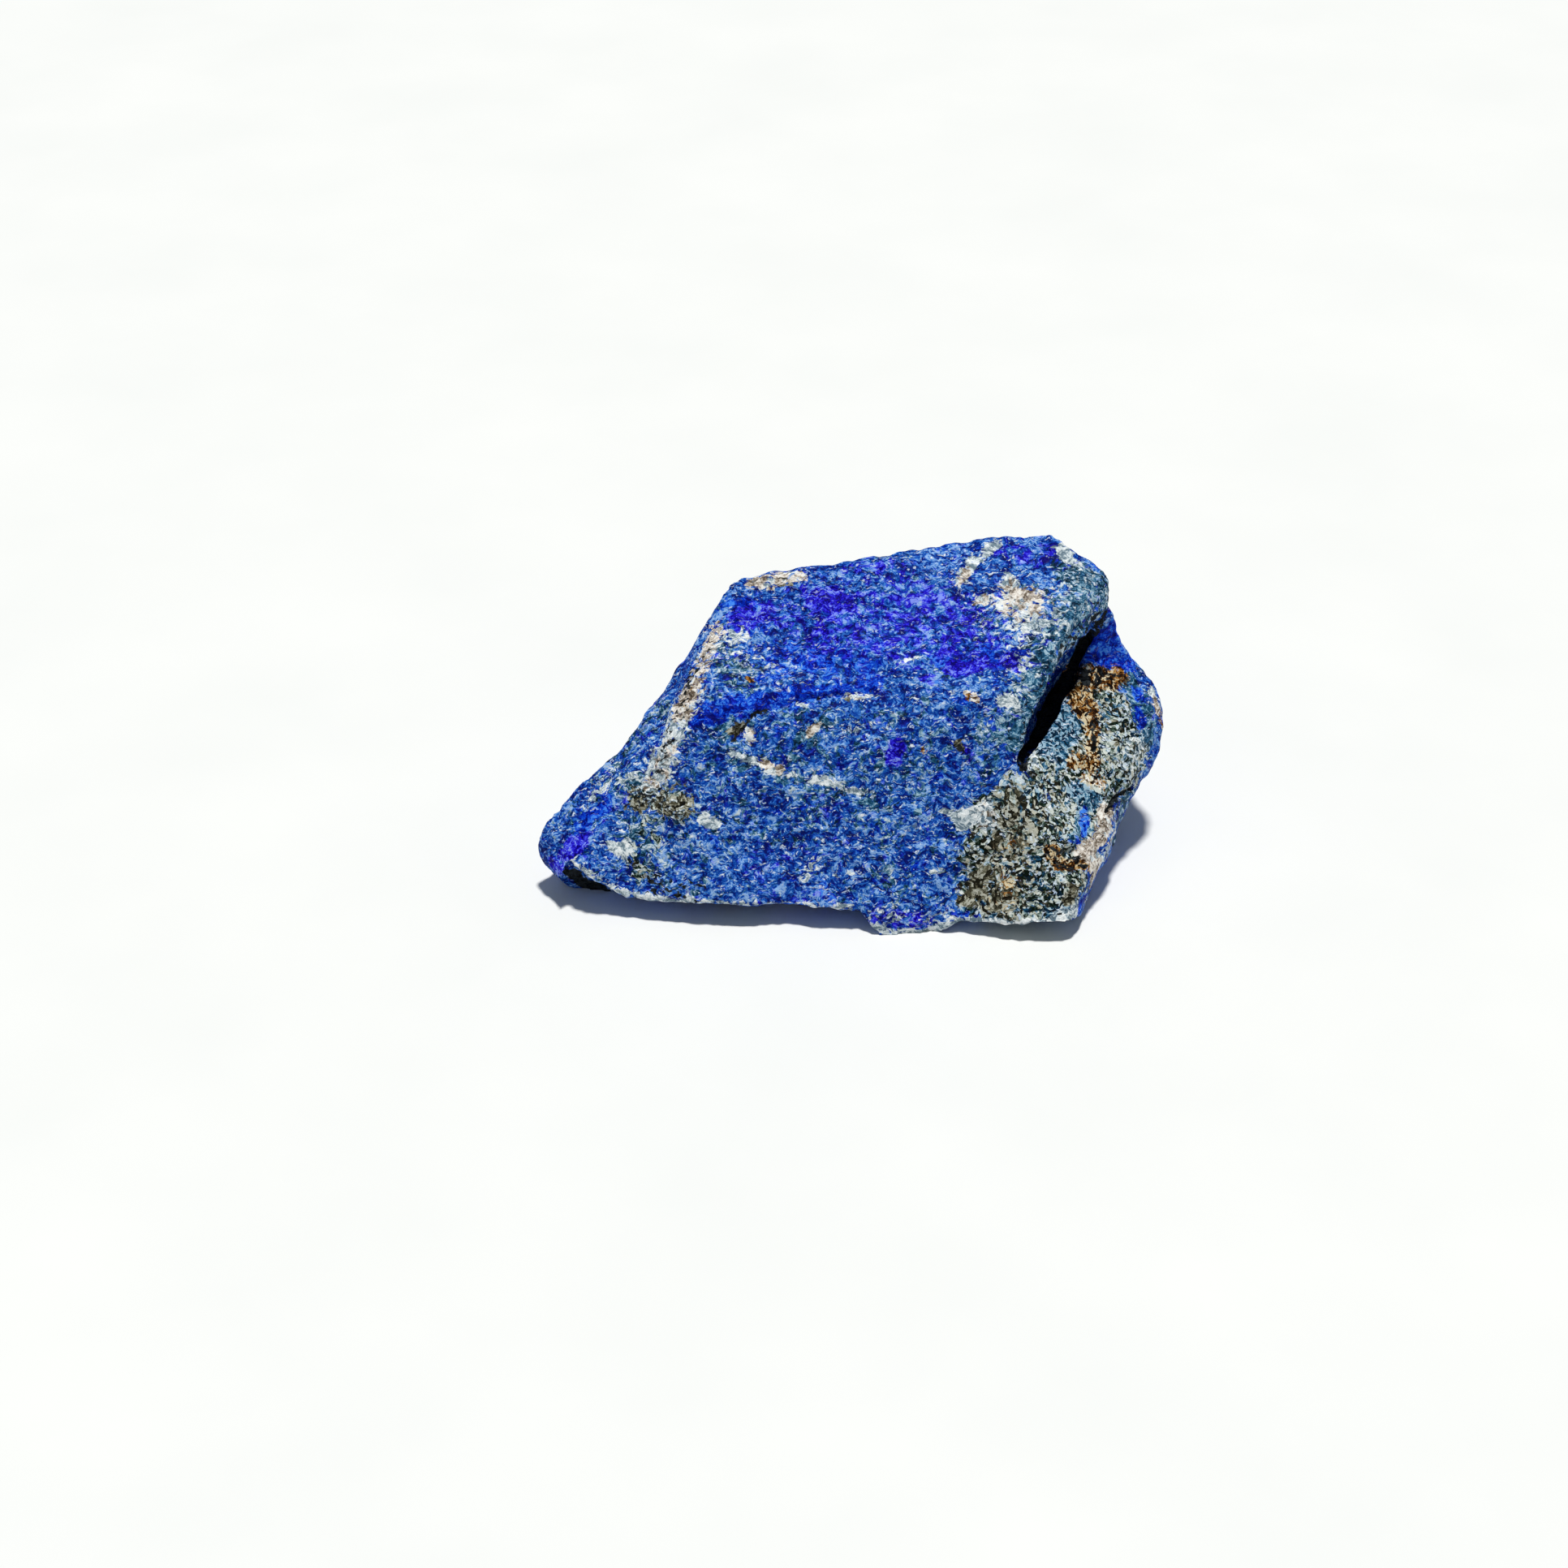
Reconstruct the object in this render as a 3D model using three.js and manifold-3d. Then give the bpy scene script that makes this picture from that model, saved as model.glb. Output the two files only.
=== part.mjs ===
// A rough, broken piece of lapis lazuli, 41 mm long, as it rests on a table.
// Millimetres, +Z up, the broad sloping face towards -Y, the origin under the middle of the stone.
//
// The stone is one solid. Five blocks, each the convex hull of its named corners, are described as
// a distance field and joined with rounded edges. Broad lumps and small pits of the fracture are
// added to the field, and the surface where it is zero is meshed on a grid. The crevice, the scoop
// under the ledge, the small pocket and the undercuts are then cut out, and the underside is cut
// flat where it meets the table.
import * as THREE from "three";
import Module from "manifold-3d";
import { ConvexGeometry } from "three/addons/geometries/ConvexGeometry.js";
import { ImprovedNoise } from "three/addons/math/ImprovedNoise.js";
import { mergeVertices } from "three/addons/utils/BufferGeometryUtils.js";

const wasm = await Module();
wasm.setup();

// ---- Driving dimensions ----------------------------------------------------------------------
const EDGE_RADIUS = 0.5; // softness of the worn edges
const JOIN_RADIUS = 0.6; // fillet where one block runs into another
const SWELL = 0.14; // makes up for what the softened edges take off the blocks
const LUMP_SIZE = 6.5; // spacing of the broad lumps of the fracture
const LUMP_HEIGHT = 0.34;
const LUMP_START = [3.1, 3.1, -3.1]; // where in the noise the lumps are read
const PIT_SIZE = 2.6; // spacing of the small pits
const PIT_HEIGHT = 0.2;
const PIT_START = [8.7, 8.7, -8.7];
const SUNK = 0.6; // depth below the table to which the blocks run before they are cut flat
const UNDERCUT_REACH = 2.6; // how far an undercut runs out, as a multiple of lip to contact
const UNDERCUT_DEPTH = 2; // how far below the table an undercut runs
const TABLE_CUT = { side: 100, depth: 10 }; // block that takes off everything below the table

const STEP = 0.785; // size of a meshing cell
const MARGIN = 2; // empty space kept round the stone in the grid
const GRID_TURN = new THREE.Euler(0.31, -0.22, 0.4); // turns the cells away from the broad faces
const SLOPE_REACH = 0.04; // distance over which the slope of the field is taken
const HALVINGS = 12; // rounds of the search for a crossing
const PULLS = 40; // rounds of the search for the point where tangent planes meet
const SAME_NORMAL = 0.999; // facets of a hull this alike in direction and place are one plane
const SAME_PLACE = 0.1;
const WELD = 1e-5;

// ---- Corners of the blocks -----------------------------------------------------------------------
// All corners are given before the finished stone is moved by 0.1 mm to stand over the origin.
// The slab: the broad blue body, with a steep lower face, a flatter upper face and a ridge behind.
const SLAB_CORNERS = {
  frontLeft: [-15.3, -9.9, -SUNK],
  frontMiddle: [-8.0, -10.9, -SUNK],
  frontRight: [4.0, -10.9, -SUNK],
  creaseLeft: [-10.6, -4.4, 11.7],
  creaseMiddle: [-1.5, -3.1, 13.4],
  creaseRight: [10.0, -3.3, 13.6],
  veinLow: [-12.9, -5.8, 7.8],
  veinMiddle: [-11.8, -3.2, 10.6],
  leftLow: [-13.6, -1.3, 10.4],
  leftMiddle: [-10.4, 1.9, 14.3],
  leftHigh: [-9.1, 3.4, 16.3],
  ridgeLeft: [-7.7, 4.5, 17.3],
  ridgeInner: [-2.6, 5.3, 17.3],
  ridgeMiddle: [3.2, 6.2, 18.5],
  ridgeRight: [13.0, 5.9, 19.7],
  faceRight: [13.3, 2.0, 17.4],
  wallHigh: [13.8, 0.6, 14.9],
  wallMiddle: [12.3, -2.2, 13.7],
  wallLow: [11.6, -3.6, 12.5],
  wallFoot: [10.0, -6.0, 9.4],
  leftBase: [-14.6, -3.0, -SUNK],
  backBaseLeft: [-12.5, 4.5, -SUNK],
  backBaseMiddle: [-4.0, 9.8, -SUNK],
  backBaseRight: [9.0, 11.6, -SUNK],
  backHighLeft: [-6.6, 6.9, 14.6],
  backMiddle: [-1.0, 10.2, 9.5],
  backHighRight: [9.0, 9.8, 15.5],
};
// The corner: the rounded knob at the top right of the slab.
const CORNER_CORNERS = {
  ridge: [13.2, 6.0, 19.8],
  outer: [15.4, 4.6, 18.5],
  outerLow: [16.7, 3.9, 17.4],
  wallTop: [16.5, 3.3, 16.0],
  wallMiddle: [15.0, 2.4, 15.5],
  wallLow: [13.6, 0.0, 14.8],
  faceHigh: [14.9, 2.9, 18.2],
  faceMiddle: [14.3, 1.0, 17.2],
  faceLow: [12.7, -1.5, 15.4],
  faceFoot: [11.7, -3.3, 13.2],
  faceLeft: [8.0, 2.2, 17.0],
  ridgeLeft: [6.0, 6.1, 18.7],
  inner: [10.0, 4.0, 13.0],
  back: [12.0, 8.4, 16.5],
};
// The toe: the low pointed end at the left.
const TOE_CORNERS = {
  top: [-12.8, -1.4, 10.8],
  upperMiddle: [-15.0, -2.4, 9.0],
  lowerMiddle: [-17.9, -3.7, 6.5],
  outerTop: [-19.9, -4.9, 4.7],
  outer: [-20.7, -5.2, 2.9],
  front: [-18.5, -8.5, 2.6],
  frontInner: [-16.4, -9.5, 0.4],
  lobe: [-19.3, -6.9, 1.8],
  lobeOuter: [-20.1, -6.0, 1.7],
  vein: [-12.6, -4.8, 9.1],
  base: [-18.6, -4.3, -SUNK],
  baseBack: [-17.0, -0.8, -SUNK],
  baseInner: [-12.0, -9.6, -SUNK],
  inner: [-9.0, 1.0, 8.0],
};
// The layer beside and under the slab: the granular right-hand part, with a shelf at its top.
const LAYER_CORNERS = {
  seam: [9.4, -5.9, 9.5],
  underLow: [10.4, -3.4, 10.8],
  underHigh: [13.0, 2.4, 13.0],
  shelf: [18.4, 3.9, 11.3],
  shelfOuter: [19.7, 3.8, 10.4],
  bulge: [20.5, 2.2, 7.8],
  bulgeLow: [20.2, 0.8, 6.2],
  sideHigh: [18.4, -2.6, 4.4],
  sideMiddle: [15.6, -6.4, 3.2],
  sideLow: [14.3, -9.3, 2.3],
  corner: [13.8, -11.2, 1.6],
  cornerLow: [13.0, -12.2, -SUNK],
  chamferHigh: [16.6, -4.9, 5.5],
  chamferLow: [14.1, -10.2, 3.4],
  front: [12.0, -13.0, -SUNK],
  frontMiddle: [9.2, -12.6, -SUNK],
  frontInner: [4.6, -11.0, -SUNK],
  baseSide: [15.2, -3.2, -SUNK],
  baseBack: [16.8, 4.0, -SUNK],
  baseRear: [12.0, 10.5, -SUNK],
  backMiddle: [18.6, 8.0, 5.0],
  backShelf: [16.4, 8.6, 10.6],
  rearHigh: [8.0, 9.2, 12.0],
  rearInner: [7.0, 10.8, -SUNK],
  inner: [4.0, -4.0, 2.0],
};
// The horn: the steep deep-blue facet that rises from the shelf to the corner of the slab.
const HORN_CORNERS = {
  tip: [16.4, 3.6, 16.0],
  right: [18.6, 4.2, 11.3],
  left: [12.8, 2.2, 11.2],
  inner: [13.6, 3.4, 15.6],
  backTip: [13.6, 8.2, 16.0],
  backRight: [16.8, 8.8, 10.0],
  backLeft: [9.0, 9.6, 13.0],
  lowRight: [17.6, 4.4, 7.0],
  lowBack: [15.8, 8.8, 6.0],
  lowLeft: [9.0, 9.8, 6.0],
};

// ---- Corners of the hollows ------------------------------------------------------------------------
// The crevice between the slab and the layer: two wedges that narrow inwards, one above the other.
const LOWER_CREVICE_CORNERS = {
  foot: [9.9, -6.0, 9.2],
  footDeep: [9.8, -5.4, 8.5],
  slabLow: [10.9, -4.7, 11.1],
  slabMiddle: [11.6, -3.6, 12.5],
  slabHigh: [12.2, -2.2, 13.7],
  layerLow: [11.9, -3.0, 10.6],
  layerMiddle: [13.1, -0.9, 11.4],
  layerHigh: [13.8, 1.0, 11.6],
  outerLow: [11.5, -4.3, 10.9],
  outerHigh: [13.3, -1.0, 13.0],
  underLow: [10.3, -4.2, 9.9],
  underMiddle: [10.6, -2.8, 11.0],
  underHigh: [10.9, -1.2, 11.7],
  deepLow: [11.0, -2.8, 7.4],
  deepMiddle: [11.6, -0.8, 7.6],
  deepHigh: [12.2, 1.3, 8.2],
  wallLow: [12.0, -2.7, 7.6],
  wallMiddle: [13.1, -0.7, 7.9],
  wallHigh: [13.8, 1.3, 8.9],
};
const UPPER_CREVICE_CORNERS = {
  slabLow: [12.2, -2.2, 13.7],
  slabMiddle: [13.6, 0.0, 14.8],
  slabHigh: [15.0, 2.4, 15.5],
  top: [16.4, 3.2, 16.0],
  layerLow: [13.8, 1.0, 11.6],
  layerMiddle: [14.2, 2.3, 12.2],
  layerHigh: [15.3, 3.7, 13.9],
  outerLow: [13.3, -1.0, 13.0],
  outerHigh: [15.3, 2.6, 15.1],
  underLow: [10.9, -1.2, 11.7],
  underMiddle: [12.3, 1.0, 12.8],
  underHigh: [14.2, 3.1, 14.1],
  deepLow: [12.0, 1.3, 8.2],
  deepMiddle: [13.2, 2.8, 8.8],
  deepHigh: [14.6, 4.0, 11.0],
  wallLow: [13.8, 1.2, 8.9],
  wallHigh: [14.2, 2.5, 9.4],
};
// The scoop under the ledge that crosses the face at the crease.
const SCOOP_CORNERS = {
  ledgeLeft: [-7.4, -4.9, 12.0],
  ledgeInner: [-5.9, -3.8, 12.7],
  ledgeMiddle: [-4.3, -3.2, 13.1],
  ledgeRight: [0.6, -2.9, 13.5],
  deepLeft: [-6.4, -4.2, 12.0],
  deepMiddle: [-4.0, -3.4, 12.6],
  deepRight: [-0.6, -3.3, 12.8],
  lowLeft: [-6.4, -6.4, 10.4],
  lowMiddle: [-3.0, -6.7, 9.9],
  lowRight: [1.6, -5.4, 11.7],
  outerLeft: [-6.6, -7.5, 13.5],
  outerRight: [0.0, -7.0, 14.5],
};
// The undercut of the toe: its roof rises to the left, up to the lobe under the tip, and its back
// is a wall close behind the lip.
const TOE_UNDERCUT_CORNERS = {
  backLeft: [-18.6, -6.0, 3.1],
  frontLeft: [-17.5, -13.0, 4.9],
  frontRight: [-12.5, -13.0, 1.2],
  middleRight: [-12.5, -9.4, 0.0],
  backRight: [-13.6, -7.2, 0.1],
  lowBackLeft: [-20.8, -5.0, -2.0],
  lowFrontLeft: [-21.0, -13.0, -2.0],
  lowFrontRight: [-12.5, -13.0, -2.0],
  lowBackRight: [-13.2, -6.4, -2.0],
};
// The undercuts along the front. Each lip point is paired with the point behind it where the
// underside meets the table. Only the foot, which the side points leave standing, comes down.
const MIDDLE_UNDERCUT = {
  lips: [[-15.1, -8.8, 1.4], [-5.0, -10.2, 1.0], [0.4, -9.9, 1.3]],
  contacts: [[-13.5, -6.4, 0.0], [-4.6, -7.8, 0.0], [1.0, -7.6, 0.0]],
  sides: [[1.6, -10.6, 0.0], [2.6, -11.4, -2.0], [2.0, -7.6, -2.0]],
};
const RIGHT_UNDERCUT = {
  lips: [[6.4, -11.0, 0.9], [9.2, -11.8, 1.0], [13.2, -11.9, 1.25]],
  contacts: [[6.4, -8.6, 0.0], [9.2, -8.8, 0.0], [13.5, -9.0, 0.0]],
  sides: [
    [5.3, -10.8, 0.0],
    [4.3, -11.4, -2.0],
    [5.6, -8.6, -2.0],
    [18.0, -8.0, 0.3],
    [18.0, -8.0, -2.0],
  ],
};
// The small pocket under the seam, with a sharp ledge below it.
const POCKET_CORNERS = {
  highLeft: [13.0, -8.6, 5.8],
  highRight: [14.7, -7.7, 5.4],
  lowRight: [14.7, -8.7, 4.6],
  low: [13.8, -9.5, 4.6],
  lowLeft: [13.2, -9.3, 4.9],
  deepLeft: [13.1, -8.5, 4.5],
  deepRight: [13.9, -8.0, 4.2],
};

const blocks = [SLAB_CORNERS, CORNER_CORNERS, TOE_CORNERS, LAYER_CORNERS, HORN_CORNERS];
const hollows = [
  LOWER_CREVICE_CORNERS,
  UPPER_CREVICE_CORNERS,
  SCOOP_CORNERS,
  TOE_UNDERCUT_CORNERS,
  POCKET_CORNERS,
];
const undercuts = [MIDDLE_UNDERCUT, RIGHT_UNDERCUT];

// ---- Distance field ------------------------------------------------------------------------------
const noise = new ImprovedNoise();

function vectorOf(corner) {
  return new THREE.Vector3(...corner);
}

function pointsOf(corners) {
  return Object.values(corners).map(vectorOf);
}

// The outward planes of a convex block, one for each different facet of its hull.
function planesOf(corners) {
  const position = new ConvexGeometry(pointsOf(corners)).getAttribute("position");
  const vertex = (index) => new THREE.Vector3().fromBufferAttribute(position, index);
  const planes = [];
  for (let i = 0; i < position.count; i += 3) {
    const plane = new THREE.Plane().setFromCoplanarPoints(vertex(i), vertex(i + 1), vertex(i + 2));
    const isKnown = planes.some((known) => {
      const nearness = Math.abs(known.constant - plane.constant);
      return known.normal.dot(plane.normal) > SAME_NORMAL && nearness < SAME_PLACE;
    });
    if (!isKnown) planes.push(plane);
  }
  return planes;
}

const blockPlanes = blocks.map(planesOf);

// The larger and the smaller of two distances, with the corner between them rounded.
function roundedMax(a, b, radius) {
  const overlap = Math.max(radius - Math.abs(a - b), 0) / radius;
  return Math.max(a, b) + (overlap * overlap * radius) / 4;
}

function roundedMin(a, b, radius) {
  return -roundedMax(-a, -b, radius);
}

function blockDistance(planes, point) {
  const distances = planes.map((plane) => plane.distanceToPoint(point));
  return distances.reduce((a, b) => roundedMax(a, b, EDGE_RADIUS));
}

function noiseAt(p, size, [x, y, z]) {
  return noise.noise(p.x / size + x, p.y / size + y, p.z / size + z);
}

function relief(p) {
  const lump = noiseAt(p, LUMP_SIZE, LUMP_START);
  const pit = noiseAt(p, PIT_SIZE, PIT_START);
  return LUMP_HEIGHT * lump + PIT_HEIGHT * pit;
}

// Signed distance to the skin of the joined blocks, with the relief of the fracture on it.
function stoneDistance(p) {
  const distances = blockPlanes.map((planes) => blockDistance(planes, p));
  const joined = distances.reduce((a, b) => roundedMin(a, b, JOIN_RADIUS));
  return joined + relief(p) - SWELL;
}

// ---- Meshing -----------------------------------------------------------------------------------
// One vertex is set in each cell that the surface crosses, where the tangent planes of the
// crossings meet, and one quad is laid round each grid edge that the surface cuts.
const CELL_CORNERS = [0, 1, 2, 3, 4, 5, 6, 7].map((c) => [c & 1, (c >> 1) & 1, (c >> 2) & 1]);
const CELL_EDGES = CELL_CORNERS.flatMap((_, a) => {
  const freeBits = [1, 2, 4].filter((bit) => !(a & bit));
  return freeBits.map((bit) => [a, a | bit]);
});
const EDGE_QUADS = [
  { next: [1, 0, 0], cells: [[0, -1, -1], [0, 0, -1], [0, 0, 0], [0, -1, 0]] },
  { next: [0, 1, 0], cells: [[-1, 0, -1], [-1, 0, 0], [0, 0, 0], [0, 0, -1]] },
  { next: [0, 0, 1], cells: [[-1, -1, 0], [0, -1, 0], [0, 0, 0], [-1, 0, 0]] },
];

function makeGrid(field, box) {
  const count = box.getSize(new THREE.Vector3()).divideScalar(STEP).ceil().addScalar(1);
  return {
    field,
    count,
    inside: new Uint8Array(count.x * count.y * count.z),
    vertices: [],
    vertexOf: new Map(),
    triangles: [],
    index: (i, j, k) => i + count.x * (j + count.y * k),
    place: (i, j, k) => new THREE.Vector3(i, j, k).multiplyScalar(STEP).add(box.min),
  };
}

// Visits the grid points that are at least so many steps from its low and its high sides.
function forEachPoint({ count }, fromLow, fromHigh, visit) {
  for (let k = fromLow; k < count.z - fromHigh; k++) {
    for (let j = fromLow; j < count.y - fromHigh; j++) {
      for (let i = fromLow; i < count.x - fromHigh; i++) visit(i, j, k);
    }
  }
}

function fieldNormal(field, p) {
  const slope = (axis) => {
    const ahead = p.clone();
    const behind = p.clone();
    ahead[axis] += SLOPE_REACH;
    behind[axis] -= SLOPE_REACH;
    return field(ahead) - field(behind);
  };
  return new THREE.Vector3(slope("x"), slope("y"), slope("z")).normalize();
}

function crossingPoint(field, insidePoint, outsidePoint) {
  const a = insidePoint.clone();
  const b = outsidePoint.clone();
  const middle = new THREE.Vector3();
  for (let round = 0; round < HALVINGS; round++) {
    middle.addVectors(a, b).multiplyScalar(0.5);
    if (field(middle) < 0) a.copy(middle);
    else b.copy(middle);
  }
  return middle;
}

// The point nearest to all the tangent planes, kept inside its cell.
function meetingPoint(points, normals, low, high) {
  const x = new THREE.Vector3();
  points.forEach((p) => x.addScaledVector(p, 1 / points.length));
  for (let round = 0; round < PULLS; round++) {
    const pull = new THREE.Vector3();
    points.forEach((p, i) => {
      const gap = normals[i].dot(p) - normals[i].dot(x);
      pull.addScaledVector(normals[i], gap / points.length);
    });
    x.add(pull);
  }
  return x.clamp(low, high);
}

function addVertex(grid, i, j, k) {
  const corners = CELL_CORNERS.map(([a, b, c]) => [i + a, j + b, k + c]);
  const filled = corners.map((corner) => grid.inside[grid.index(...corner)]);
  const crossed = CELL_EDGES.filter(([a, b]) => filled[a] !== filled[b]);
  if (crossed.length === 0) return;
  const points = crossed.map(([a, b]) => {
    const [from, to] = filled[a] ? [a, b] : [b, a];
    return crossingPoint(grid.field, grid.place(...corners[from]), grid.place(...corners[to]));
  });
  const normals = points.map((p) => fieldNormal(grid.field, p));
  grid.vertexOf.set(grid.index(i, j, k), grid.vertices.length);
  grid.vertices.push(meetingPoint(points, normals, grid.place(i, j, k), grid.place(i + 1, j + 1, k + 1)));
}

// The quad is split along the diagonal that lies nearer the surface.
function addQuad(grid, cells, isFlipped) {
  const [a, b, c, d] = isFlipped ? [...cells].reverse() : cells;
  const offSurface = (m, n) => {
    const middle = grid.vertices[m].clone().lerp(grid.vertices[n], 0.5);
    return Math.abs(grid.field(middle));
  };
  if (offSurface(a, c) <= offSurface(b, d)) grid.triangles.push(a, b, c, a, c, d);
  else grid.triangles.push(b, c, d, b, d, a);
}

function addQuads(grid, i, j, k) {
  const here = grid.inside[grid.index(i, j, k)];
  EDGE_QUADS.forEach(({ next, cells }) => {
    const there = grid.inside[grid.index(i + next[0], j + next[1], k + next[2])];
    if (here === there) return;
    const round = cells.map(([a, b, c]) => grid.vertexOf.get(grid.index(i + a, j + b, k + c)));
    addQuad(grid, round, !here);
  });
}

function meshField(field, box) {
  const grid = makeGrid(field, box);
  forEachPoint(grid, 0, 0, (i, j, k) => {
    grid.inside[grid.index(i, j, k)] = field(grid.place(i, j, k)) < 0 ? 1 : 0;
  });
  forEachPoint(grid, 0, 1, (i, j, k) => addVertex(grid, i, j, k));
  forEachPoint(grid, 1, 1, (i, j, k) => addQuads(grid, i, j, k));

  const coordinates = grid.vertices.flatMap((p) => p.toArray());
  const geometry = new THREE.BufferGeometry();
  geometry.setAttribute("position", new THREE.Float32BufferAttribute(coordinates, 3));
  geometry.setIndex(grid.triangles);
  return geometry;
}

// ---- Joining and cutting -------------------------------------------------------------------------
function toManifold(geometry) {
  const bare = new THREE.BufferGeometry();
  bare.setAttribute("position", geometry.getAttribute("position"));
  bare.setIndex(geometry.index);
  const welded = mergeVertices(bare, WELD);
  return new wasm.Manifold(
    new wasm.Mesh({
      numProp: 3,
      vertProperties: new Float32Array(welded.getAttribute("position").array),
      triVerts: new Uint32Array(welded.index.array),
    }),
  );
}

function toGeometry(manifold) {
  const mesh = manifold.getMesh();
  const geometry = new THREE.BufferGeometry();
  geometry.setAttribute("position", new THREE.Float32BufferAttribute(mesh.vertProperties, 3));
  geometry.setIndex(new THREE.Uint32BufferAttribute(mesh.triVerts, 1));
  return geometry;
}

// A wedge under the front: its top runs from the contacts through the lips and on past the stone.
function undercutGeometry({ lips, contacts, sides }) {
  const inner = contacts.map(vectorOf);
  const outer = lips.map((lip, i) => {
    const run = vectorOf(lip).sub(inner[i]).multiplyScalar(UNDERCUT_REACH);
    return run.add(inner[i]);
  });
  const lowered = [...inner, ...outer].map((p) => new THREE.Vector3(p.x, p.y, -UNDERCUT_DEPTH));
  return new ConvexGeometry([...inner, ...outer, ...lowered, ...sides.map(vectorOf)]);
}

// ---- The stone -----------------------------------------------------------------------------------
function bodyGeometry() {
  const turn = new THREE.Quaternion().setFromEuler(GRID_TURN);
  const back = turn.clone().invert();
  const turnedCorners = blocks.flatMap(pointsOf).map((p) => p.applyQuaternion(back));
  const box = new THREE.Box3().setFromPoints(turnedCorners).expandByScalar(MARGIN);
  const turnedField = (p) => stoneDistance(p.clone().applyQuaternion(turn));
  return meshField(turnedField, box).applyQuaternion(turn);
}

function stoneGeometry() {
  const belowTable = new THREE.BoxGeometry(TABLE_CUT.side, TABLE_CUT.side, TABLE_CUT.depth);
  belowTable.translate(0, 0, -TABLE_CUT.depth / 2);
  const carved = hollows.map((corners) => new ConvexGeometry(pointsOf(corners)));
  const cutters = [...carved, ...undercuts.map(undercutGeometry), belowTable];
  const body = toManifold(bodyGeometry());
  const cut = cutters.map(toManifold).reduce((solid, cutter) => solid.subtract(cutter), body);
  const geometry = toGeometry(cut);

  geometry.computeBoundingBox();
  const middle = geometry.boundingBox.getCenter(new THREE.Vector3());
  geometry.translate(-middle.x, -middle.y, 0);
  geometry.computeVertexNormals();
  return geometry;
}

const material = new THREE.MeshStandardMaterial({ color: 0x2a3f9e, roughness: 0.65, metalness: 0 });
const stone = new THREE.Mesh(stoneGeometry(), material);
stone.name = "stone";

const specimen = new THREE.Group();
specimen.add(stone);

export default specimen;
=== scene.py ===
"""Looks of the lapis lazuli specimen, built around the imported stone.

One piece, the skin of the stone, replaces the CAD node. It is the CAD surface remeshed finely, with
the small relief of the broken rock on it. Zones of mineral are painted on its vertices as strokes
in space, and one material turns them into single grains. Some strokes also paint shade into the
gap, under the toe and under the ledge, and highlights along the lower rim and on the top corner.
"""

import math

import bpy
import numpy as np
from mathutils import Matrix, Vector, noise
from mathutils.bvhtree import BVHTree


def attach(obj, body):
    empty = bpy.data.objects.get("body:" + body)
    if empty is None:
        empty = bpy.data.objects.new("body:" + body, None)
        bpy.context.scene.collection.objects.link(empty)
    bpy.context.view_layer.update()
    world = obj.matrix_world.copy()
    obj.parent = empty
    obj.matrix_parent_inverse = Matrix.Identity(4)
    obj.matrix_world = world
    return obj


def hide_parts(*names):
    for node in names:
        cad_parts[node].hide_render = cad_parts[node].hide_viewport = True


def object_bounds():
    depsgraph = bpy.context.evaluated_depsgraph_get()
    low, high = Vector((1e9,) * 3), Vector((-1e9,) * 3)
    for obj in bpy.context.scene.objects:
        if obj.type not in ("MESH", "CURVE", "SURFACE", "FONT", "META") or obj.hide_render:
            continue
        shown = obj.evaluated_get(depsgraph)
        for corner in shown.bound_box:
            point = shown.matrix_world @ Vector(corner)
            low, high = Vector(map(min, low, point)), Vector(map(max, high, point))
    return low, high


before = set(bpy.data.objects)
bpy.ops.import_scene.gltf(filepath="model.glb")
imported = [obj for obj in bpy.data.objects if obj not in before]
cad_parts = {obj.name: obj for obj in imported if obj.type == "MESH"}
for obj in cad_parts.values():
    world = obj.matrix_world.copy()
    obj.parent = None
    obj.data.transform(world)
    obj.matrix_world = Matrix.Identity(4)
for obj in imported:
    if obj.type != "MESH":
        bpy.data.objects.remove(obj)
cad_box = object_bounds()

MM = 0.001

# ---- View ----------------------------------------------------------------------------------------
IMAGE_SIDE = 1932  # pixels of the square photograph
LENS = 72.0  # mm, on a sensor SENSOR mm wide
SENSOR = 36.0
ELEVATION = math.radians(33.0)
DISTANCE = 215.0 * MM
TARGET = Vector((-4.6, 6.88, 0.0)) * MM
BACK = Vector((0.0, -math.cos(ELEVATION), math.sin(ELEVATION)))
EYE = TARGET + BACK * DISTANCE
NEAR_CLIP = 10.0 * MM

# ---- Skin ----------------------------------------------------------------------------------------
VOXEL = 0.187 * MM
SMOOTHING = 0.5
SMOOTHING_ROUNDS = 2
FLOOR_LEVEL = 0.02 * MM  # what lies lower than this is the flat underside
TERRACE_SIZE = 3.4  # mm, spacing of the broad steps of the fracture
TERRACE_STEPS = 3  # steps to one unit of noise
TERRACE_HEIGHT = 0.30  # mm for one unit of noise
TERRACE_RISER = (0.3, 0.7)  # part of a step over which it rises
KNOB_SIZE = 1.0  # mm
KNOB_HEIGHT = 0.11
KNOB_START = (4.0, 1.0, 2.0)  # a start is where in the noise a layer is read
GRAIN_SIZE = 0.44
GRAIN_HEIGHT = 0.07
GRAIN_START = (9.0, 5.0, 6.0)
HOLLOW_SIZE = 9.0  # shallow hollows of the underside
HOLLOW_DEPTH = 0.5
HOLLOW_EDGE = (0.05, 0.45)  # of the noise, over which a hollow deepens
HOLLOW_START = (1.0, 8.0, 3.0)
HIDDEN_TURN = 0.12  # of the normal's share towards the camera, where the hidden sides begin

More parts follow.
